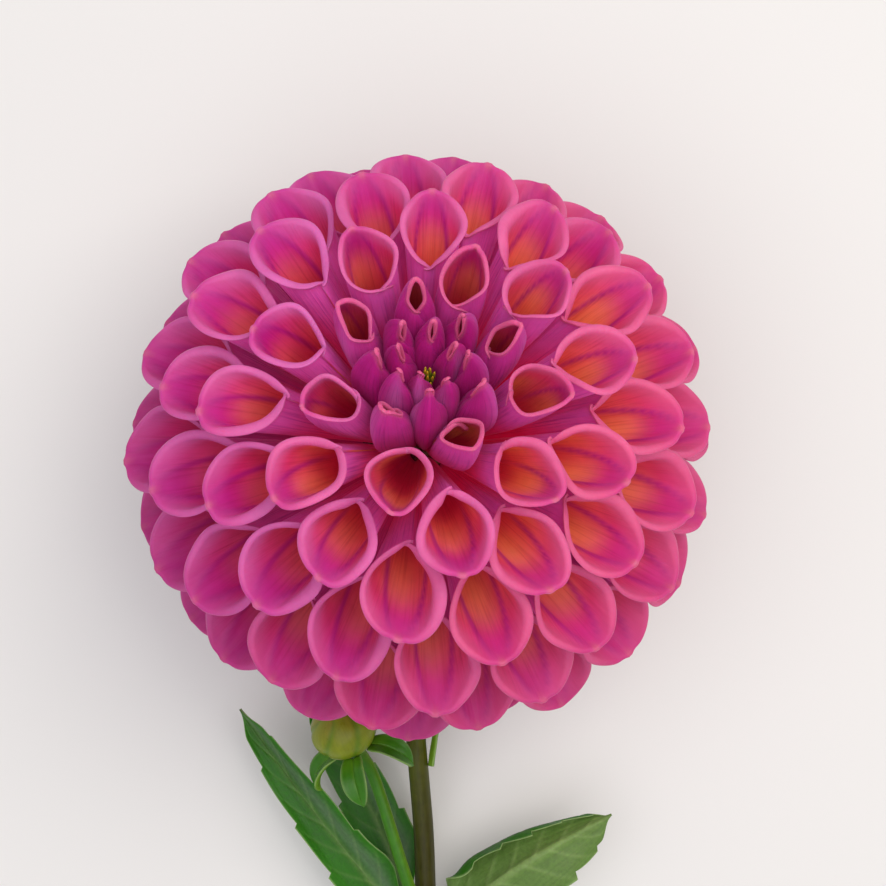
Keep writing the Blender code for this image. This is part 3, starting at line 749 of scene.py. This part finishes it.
def floret_colours(floret, turn, from_edge, opened):
    """Colours of both faces at each point, from the distance to the margin, the turn and the length.

    Inside, from the margin down: a pale lip that melts into the face, partly its own colour and partly a
    painted highlight, magenta near the tip, salmon to crimson flanks, orange stripes between the folds, which
    are darkened by painted shade, and a throat darkened by painted shade. Outside: lilac pink at the rim and
    red towards the foot, partly the petal's own red and partly a painted glow.
    """
    index = floret.index
    # Warmer salmon and coral on the right, towards the key lamp, and lilac on the left under cooler light:
    # partly the florets' own tone, which also varies at random, partly painted light.
    warm = np.clip(0.5 + 0.75 * floret.out[0] - 0.25 * floret.out[1] + 0.25 * jitter(index, IN_WARMTH), 0, 1)
    # Florets towards the back of the ball and on the lower left, away from the key lamp, turn darker and
    # mauve: partly their own duskier tone, partly painted shade.
    shaded = 0.45 - 0.5 * floret.out[0] - 0.25 * floret.out[1]
    mauve_shade = 0.3 * ease((floret.polar - 0.7) / 0.8)
    mauve_shade += 0.3 * np.clip((1 - math.cos(floret.polar)) * shaded, 0, 1)
    depth = from_edge / floret.mouth
    turn = np.broadcast_to(turn, depth.shape)
    side = np.abs(turn)
    blush = 0.5 + 0.5 * np.sin(1.3 * turn + 3 * jitter(index, IN_BLUSH))

    lip = blended(LILAC, SALMON, 0.15 + 0.7 * warm)
    inner = blended(CRIMSON, CORAL, (0.3 + 0.6 * warm) * (0.5 + 0.5 * blush))
    inner = blended(inner, lip, 0.4 * blush * (1 - ease(depth / 0.8)))
    glow = ease((depth - 0.22) / 0.4) * (1 - ease((depth - 1.0) / 0.9))
    stripe = 0.6 + 0.4 * np.cos(3.0 * turn + 0.8 * jitter(index, IN_STRIPES))
    near_v = bump(side - math.pi, 1.0)
    inner = blended(inner, ORANGE, glow * np.clip(0.8 * stripe + 0.5 * near_v, 0, 1) * (0.3 + 0.65 * warm))
    inner = blended(inner, MAGENTA, 0.92 * bump(depth - 0.12, 0.45) * bump(side, 0.9) * (1 - 0.2 * warm))
    # Painted shade: the inside turns dark red deep in the tube, a red that also stands in for bounced light.
    inner = blended(inner, THROAT_SHADE, 0.8 * ease((depth - 0.75) / 0.85))
    # Darker magenta lines down the two folds: painted shade in the creases.
    fold = bump(side - crease(depth), 0.075 + 0.03 * depth) * ease(depth / 0.12)
    fold = fold * (1 - 0.8 * ease((depth - 0.7) / 0.6))
    inner = blended(inner, MAGENTA * 0.75, 0.85 * fold)
    # The pale lip at the margin: partly the margin's own paler colour, partly a painted highlight where the
    # rolled lip catches the light.
    edge = 1 - ease((depth - 0.02) / (0.1 + 0.24 * opened))
    inner = blended(inner, lip, edge * (0.92 - 0.7 * bump(side, 0.75)))
    inner = blended(inner, TIP_SPOT, 0.2 * bump(side, 0.08) * (1 - ease(depth / 0.09)))

    outer = blended(OUTER_PINK, lip, 0.5 * (1 - ease(depth / 0.12)))
    # Red towards the foot of the outside: partly the petal's own red, partly a painted glow of light bounced
    # and let through in the gaps between florets.
    outer = blended(outer, OUTER_GLOW_RED, ease((depth - 0.35) / 1.0) * (0.7 + 0.3 * warm))
    outer = blended(outer, TIP_SPOT, 0.25 * bump(side, 0.09) * (1 - ease(depth / 0.10)))

    # Young florets at the heart: purple with a painted lilac sheen on their outsides, painted shade darkening
    # them towards the foot and inside the closed hood, and pale salmon margins.
    heart = 1 - ease((index - 9) / 16)
    pale_edge = 1 - ease((from_edge - 0.05 * MM) / (0.28 * MM))
    sheen = bump(turn - 1.4 * jitter(index, IN_SHEEN), 0.55) * bump(depth - 0.9, 0.75)
    young = blended(HEART_PURPLE, HEART_SHEEN, 0.75 * sheen)
    young = blended(young, HEART_SHADE, ease((depth - 1.0) / 1.6))
    young = blended(young, SALMON, 0.8 * pale_edge)
    inner = blended(inner, HEART_SHADE, 0.8 * heart * (1 - pale_edge))
    inner = blended(inner, SALMON, 0.7 * heart * pale_edge)
    outer = blended(outer, young, 0.92 * heart)
    inner = blended(inner, MAUVE_SHADE, mauve_shade)
    outer = blended(outer, MAUVE_SHADE, mauve_shade)
    veined = 0.1 + 0.9 * ease((depth - 0.05) / 0.35)[..., None]
    faces = {"inner_face": inner, "outer_face": outer}
    return {face: np.concatenate([colour, veined], -1) for face, colour in faces.items()}


def bloom():
    """Every floret that the stem leaves room for, each in its own cell between its neighbours."""
    florets = spiral()
    path = stem_path()
    sites = np.array([AXIS] + [floret.out for floret in florets])
    for floret in florets:
        beside_stem = stem_walls(floret, path)
        if beside_stem is None:
            continue
        apart = sites - floret.out
        distance = np.linalg.norm(apart, axis=1)
        near = (distance > 1e-6) & (distance < 2.1 * FULL_WIDTH)
        walls = list(apart[near] / distance[near, None]) + beside_stem
        walls.append(direction(BACK_OPENING + math.pi / 2, floret.azimuth))
        points, uv, turn, from_edge, opened = floret_shape(floret, walls)
        colours = floret_colours(floret, turn, from_edge, opened)
        sheet(
            f"floret_{floret.index + 1:03d}", [(points, uv, colours)], [floret.node()],
            [PETAL_OUTSIDE, PETAL_INSIDE], wall=PETAL_THICKNESS,
        )


bloom()

# ------------ stem, leaves, bracts and bud

OLIVE = linear("#565C0A")
STEM_DARK = linear("#302A06")
STEM_RED = linear("#6A3A26")
PITH = linear("#C9D08E")
LEAF_GREEN = linear("#2C7008")
LEAF_DEEP = linear("#1B4A0C")
LEAF_GREY = linear("#5E7058")
LEAF_UNDER = linear("#5C7A38")
VEIN_PALE = linear("#9DB670")
MARGIN_PALE = linear("#B4C489")
BRACT_GREEN = linear("#35700C")
BRACT_LIGHT = linear("#6A9422")
BUD_YELLOW = linear("#7C861A")
BUD_BROWN = linear("#8A6A2C")
SHOOT_GREEN = linear("#809A18")
EYE_GREEN = linear("#6F8F1E")
EYE_YELLOW = linear("#D8B72E")


def stem_point(path, reach):
    """The centre line of the stem at a distance from the bloom's centre along -Y."""
    order = np.argsort(path[:, 1])
    return np.array([np.interp(-reach, path[order, 1], path[order, k]) for k in range(3)])


def stem(path):
    """The cut stem: wide where it meets the receptacle, narrow at the neck, swollen at the leaf joint.

    Green and olive above, it darkens downwards, with a reddish tinge at the joint and pale pith at the cut.
    """
    fine = smooth_path(path, 150)
    # The cut face is a ring of its own, a little smaller than the skin.
    fine = np.vstack([fine, fine[-1] + 1e-6 * unit(fine[-1] - fine[-2])])
    flare = bump(np.linalg.norm(fine - fine[0], axis=1), 5 * MM)
    swelling = bump(fine[:, 1] + NODE_REACH, 5 * MM)
    collar = bump(fine[:, 1] + NODE_REACH, 1.2 * MM)
    thicker = ease((-fine[:, 1] - 40 * MM) / (90 * MM))
    radii = STEM_RADIUS * (0.9 + 0.75 * flare + 0.28 * swelling + 0.05 * collar + 0.08 * thicker)

    def paint(share, turn):
        down = ease((-fine[:, 1] - 44 * MM) / (32 * MM))[:, None]
        colour = blended(OLIVE, STEM_DARK, 0.85 * down)
        colour = blended(colour, BRACT_GREEN, 0.3 * (0.5 + 0.5 * np.cos(turn + 2.2)) * (1 - 0.6 * down))
        colour = blended(colour, STEM_RED, 0.3 * swelling[:, None])
        return blended(colour, PITH, (share > 0.9999).astype(float))

    radii[-1] *= 0.94
    part = rod(fine, radii, 40, paint, ribs=0.02)
    sheet("stem_skin", [part], ["stem"], [STEM_SKIN], closed=True)


def leaf_paint(u, v, vein, rib, upper):
    """The left blade's colours: deep green left of the rib, grey where it mirrors the sky, pale margins."""
    colour = LEAF_GREEN if upper else LEAF_UNDER
    if upper:
        colour = blended(colour, LEAF_DEEP, 0.5 * (1 - np.abs(v)))
        colour = blended(colour, LEAF_GREY, 0.6 * bump(v - 0.4, 0.28))
    colour = blended(colour, VEIN_PALE, (0.12 if upper else 0.22) * vein)
    colour = blended(colour, VEIN_PALE, (0.3 if upper else 0.5) * rib)
    return blended(colour, MARGIN_PALE, 0.45 * ease((np.abs(v) - 0.94) / 0.06))


def bract_paint(u, v, vein, rib, upper):
    """Fleshy bracts: fresh green, lighter below and along the margins, yellowish at the foot."""
    colour = BRACT_GREEN if upper else BRACT_LIGHT
    colour = blended(colour, BRACT_LIGHT, 0.55 * (1 - ease(u / 0.4)))
    colour = blended(colour, BRACT_LIGHT, 0.4 * rib)
    return blended(colour, MARGIN_PALE, 0.25 * ease((np.abs(v) - 0.85) / 0.15))


LEAF_LOOK = dict(
    columns=30, teeth=4.6, tooth_depth=0.85, veins=7.0, vein_slant=1.5, relief=0.3 * MM, rib=0.7 * MM,
    thickness=0.5 * MM, wave=0.14,
)
BRACT_LOOK = dict(
    columns=12, teeth=1.0, tooth_depth=0.0, veins=5.0, vein_slant=2.5, relief=0.06 * MM, rib=0.4 * MM,
    thickness=0.9 * MM, wave=0.0, roll=(0.35, 0.35), breadth=3 * MM,
)


def leaf(name, base, middle, tip, width, up_start, up_end, fold, **changes):
    """A leaf from its stalk to its tip, widest below the middle: width x (1 - u^2.2)^0.8 past the foot."""
    rows = 150
    path = smooth_path([base, middle, tip], rows)
    u = np.linspace(0, 1, rows)
    widths = 1.0 * MM + (width - 1.0 * MM) * ease(u / 0.3) * (1 - u**2.2) ** 0.8
    widths *= 1 - 0.88 * ease((u - 0.9) / 0.1)
    up = (1 - u)[:, None] * np.array(up_start) + u[:, None] * np.array(up_end)
    part = blade(path, widths, up, fold * ease(u / 0.4), LEAF_LOOK | {"breadth": width} | changes, leaf_paint)
    sheet(name + "_blade", [part], [name], [LEAF_SKIN], closed=True)


def leaves(path):
    """The pair at the joint, one on each side of the stem, and the third behind the left one."""
    joint = stem_point(path, NODE_REACH)
    clear = STEM_RADIUS * 1.65
    left = joint + np.array([-clear, 0.5 * MM, 0.2 * MM])
    leaf(
        "leaf_left", left, left + LEFT_MIDDLE, left + LEFT_TIP, LEFT_WIDTH,
        (0.15, 0.2, 1), (-0.1, -0.3, 1), math.radians(24), roll=(0.35, 0.2),
    )
    rear = joint + np.array([-clear * 0.82, 4.5 * MM, -2.0 * MM])
    leaf(
        "leaf_left_rear", rear, rear + REAR_MIDDLE, rear + REAR_TIP, REAR_WIDTH,
        (0.1, 0, 1), (0.1, 0, 1), math.radians(8), roll=(0.2, 0.2),
    )
    right = joint + np.array([clear, 0.5 * MM, 0.5 * MM])
    leaf(
        "leaf_right", right, right + RIGHT_MIDDLE, right + RIGHT_TIP, RIGHT_WIDTH,
        (0.1, -0.3, -1), (0.5, -0.3, -1), math.radians(22), roll=(0.2, -2.6), teeth=6.5, tooth_depth=0.95,
    )


def bract(name, base, outward, along, length, width, curl, spoon=12):
    """A fleshy bract: it leaves its base outwards and curls back along the stalk."""
    rows = 30
    t = np.linspace(0, 1, rows)
    angle = curl[0] + (curl[1] - curl[0]) * t
    heading = np.outer(np.sin(angle), outward) + np.outer(np.cos(angle), along)
    steps = length / (rows - 1) * heading
    path = base + np.vstack([np.zeros(3), np.cumsum(steps[:-1], axis=0)])
    widths = width * (0.35 + 0.65 * np.sin(math.pi * np.minimum(1, 0.15 + 0.75 * t))) * (1 - 0.85 * t**5)
    up = np.outer(np.cos(angle), outward) - np.outer(np.sin(angle), along)
    fold = np.full(rows, math.radians(spoon))
    part = blade(path, widths, up, fold, BRACT_LOOK, bract_paint)
    sheet(name + "_flesh", [part], [name], [BRACT_SKIN], closed=True)


def bloom_bracts():
    """Green bracts behind the bloom, in the opening that the stem leaves by, clear of its bend."""
    for number in range(BRACT_COUNT):
        azimuth = math.radians(48 * (number - 2))
        outward = math.cos(azimuth) * UPWARD + math.sin(azimuth) * SIDEWAYS
        base = -AXIS * (FOOT + 1.0 * MM) + outward * 4.6 * MM
        curl = (math.radians(30), math.radians(12))
        bract(f"bloom_bract_{number + 1}", base, outward, -AXIS, 12 * MM, 2.1 * MM, curl)


def stem_bract(path):
    """The small leaf that lies along the upper stem."""
    foot = stem_point(path, 61 * MM) + np.array([STEM_RADIUS + 0.55 * MM, 0, 0.3 * MM])
    curl = (math.radians(4), math.radians(14))
    bract("stem_bract", foot, np.array([1.0, 0, 0]), np.array([0, 1.0, 0.05]), 9 * MM, 1.3 * MM, curl)


def stalk_paint(share, turn):
    """Painted light: yellow-green on the lit side that faces up and to the right, fresh green on the other.
    """
    lit = 0.7 * (0.5 + 0.5 * np.cos(turn - 1.2))
    return blended(BRACT_GREEN, SHOOT_GREEN, lit)


def shoot_paint(share, turn):
    """Yellow-green, with darker lines where the young leaves of the shoot meet."""
    lines = 0.6 * bump(np.sin(turn * 1.5 + share), 0.3)
    return blended(SHOOT_GREEN, BRACT_GREEN, lines)


def side_bud(path):
    """The side bud on its stalk, its bracts turned back, and the small shoot in the leaf's axil."""
    joint = stem_point(path, NODE_REACH)
    middle = np.array([BUD_X, BUD_Y, joint[2] + BUD_RISE])
    heading = unit(BUD_HEADING)
    base = middle - heading * BUD_HALF_HEIGHT
    over_stem = STEM_RADIUS * 1.5
    controls = [
        joint + np.array([-1.1 * MM, 3.6 * MM, over_stem + 1.6 * MM]),
        joint + np.array([-4.1 * MM, 12.6 * MM, over_stem + 3.0 * MM]),
        base - heading * 7.5 * MM + np.array([0.8 * MM, -1 * MM, 0]),
        base - heading * 0.3 * MM,
    ]
    rows = 70
    flare = 0.5 * MM * np.exp((np.arange(rows) - rows + 1) / 7)
    stalk = rod(smooth_path(controls, rows), BUD_STALK_RADIUS + flare, 24, stalk_paint, ribs=0.03)
    sheet("bud_stalk_skin", [stalk], ["bud_stalk"], [STEM_SKIN], closed=True)

    # The bud: a flattened ball of six scales that wind a little round it, each with a crease beside it.
    across = unit(np.cross(heading, np.array([0, 0, 1.0])))
    above = np.cross(across, heading)
    turn = np.arange(BUD_SIDES) * 2 * math.pi / BUD_SIDES
    polar = np.radians(np.linspace(6, 176, BUD_ROWS))[:, None]
    scale = (BUD_SCALES * (turn[None, :] + 0.5 * polar) / (2 * math.pi)) % 1.0
    seam = bump(np.minimum(scale, 1 - scale), 0.1) * np.sin(polar) ** 0.5
    plump = 1 + 0.02 * np.sin(math.pi * scale) - 0.03 * seam
    radial = BUD_RADIUS * np.sin(polar) * plump
    height = -BUD_HALF_HEIGHT * np.cos(polar) * (1 + 0.04 * bump(math.pi - polar, 0.5))
    ring = np.cos(turn)[:, None] * across + np.sin(turn)[:, None] * above
    points = CENTRE + middle + radial[..., None] * ring + height[..., None] * heading
    tone = blended(BUD_YELLOW, BRACT_GREEN, 0.6 * (1 - ease(polar / 1.8)))
    tone = blended(tone, BUD_BROWN, 0.5 * ease((polar - 1.6) / 1.2) * (1 - scale))
    tone = blended(tone, BRACT_GREEN, 0.55 * seam)
    uv = np.stack(np.broadcast_arrays(np.linspace(0, 4, BUD_SIDES + 1)[None, :], polar * 0.6), -1)
    scales = (points, uv, {"skin": opaque(tone)})
    sheet("bud_scales", [scales], ["bud"], [BRACT_SKIN], closed=True)

    for number in range(BRACT_COUNT):
        azimuth = 2 * math.pi * (number + 0.45) / BRACT_COUNT
        outward = math.cos(azimuth) * across + math.sin(azimuth) * above
        foot = base + heading * 0.1 * MM + outward * 3.6 * MM
        curl = (math.radians(90), 0.0)
        bract(f"bud_bract_{number + 1}", foot, outward, -heading, 9.6 * MM, 2.75 * MM, curl, spoon=20)

    start = joint + np.array([0.9 * MM, -1 * MM, STEM_RADIUS * 1.3 + 1.6 * MM])
    run = start + np.outer(np.linspace(0, 1, 30), np.array([0.8, 9, 1.2]) * MM)
    plump = np.interp(np.linspace(0, 4, 30), range(5), [0.7, 1.2, 1.3, 0.9, 0.3]) * MM
    shoot = rod(run, plump, 20, shoot_paint, ribs=0.06)
    sheet("axil_shoot_tip", [shoot], ["axil_shoot"], [BRACT_SKIN], closed=True)


def eye():
    """The unopened disc florets: slim green spindles with yellow tips, a golden angle apart, on a column."""
    def paint(share, turn):
        return blended(EYE_GREEN, EYE_YELLOW, ease((share - 0.6) / 0.4))

    column = rod(np.outer(np.linspace(FOOT, EYE_HEIGHT, 12), AXIS), np.full(12, 0.75 * MM), 16, paint)
    spindles = [column]
    for number in range(SPINDLES):
        azimuth = number * GOLDEN_ANGLE
        spread = 0.32 * MM * math.sqrt(number)
        aside = math.cos(azimuth) * SIDEWAYS + math.sin(azimuth) * UPWARD
        foot = AXIS * (EYE_HEIGHT - 0.8 * MM) + spread * aside
        tall = (4.6 - 0.16 * number) * MM
        lean = AXIS + 0.12 * (foot - AXIS * (foot @ AXIS)) / MM
        path = foot + np.outer(np.linspace(0, tall, 9), lean)
        spindles.append(rod(path, 0.36 * MM * np.sin(math.pi * np.linspace(0.15, 0.93, 9)), 8, paint))
    sheet("eye_florets", spindles, ["eye"], [BRACT_SKIN], closed=True)


def greenery():
    path = stem_path()
    stem(path)
    leaves(path)
    bloom_bracts()
    stem_bract(path)
    side_bud(path)
    eye()
    cushion = bpy.data.objects["receptacle"]
    for slot in cushion.material_slots:
        slot.material = RECEPTACLE_FLESH


greenery()

# ------------ stage

FLOOR_SIZE = 2.4
SURROUND_LIGHT = 0.58
VIEW_SPREAD = 0.258  # half the view's width over its distance
EYE_PLACE = np.array([3.9, 0.6, 300]) * MM  # of the camera, from the bloom's centre
LAMPS = (  # name, place from the bloom's centre, width, watts and colour
    ("key", (0.38, 0.25, 0.7), 0.6, 3.3, "#FFF8F2"),
    ("fill", (-0.12, -0.1, 0.8), 1.0, 3.4, "#F8F6FF"),
)


def stage():
    """A pale floor, a wide soft lamp above on the right, a wider one on the left, and a grey surround."""
    edges = np.array([-FLOOR_SIZE / 2, FLOOR_SIZE / 2])
    grid = np.stack([*np.meshgrid(edges, edges), np.zeros((2, 2))], -1)
    mesh = bpy.data.meshes.new("floor")
    mesh.from_pydata(grid.reshape(-1, 3).tolist(), [], [(0, 1, 3, 2)])
    floor = placed("floor", mesh)
    material, _, shader = skin("Painted board", 0.8)
    shader.inputs["Base Color"].default_value = rgba("#E6E5E0")
    mesh.materials.append(material)

    world = bpy.data.worlds.new("surround")
    world.use_nodes = True
    sky = world.node_tree.nodes["Background"].inputs
    sky["Color"].default_value = rgba("#F4F4F8")
    sky["Strength"].default_value = SURROUND_LIGHT
    bpy.context.scene.world = world

    for name, place, width, power, colour in LAMPS:
        lamp = bpy.data.lights.new(name, "AREA")
        lamp.energy = power
        lamp.size = width
        lamp.color = linear(colour)
        lit = placed(name, lamp)
        lit.location = CENTRE + np.array(place)
        x, y, z = unit(np.array(place))
        lit.rotation_euler = (math.acos(z), 0.0, math.atan2(x, -y))


def camera():
    """Straight down on the bloom, its middle a little to the left, stem and leaves towards the lower edge."""
    lens = bpy.data.cameras.new("camera")
    lens.angle = 2 * math.atan(VIEW_SPREAD)
    lens.clip_start = 0.01
    viewer = placed("camera", lens)
    viewer.location = CENTRE + EYE_PLACE
    bpy.context.scene.camera = viewer


stage()
camera()
bpy.context.scene.view_settings.view_transform = "Standard"
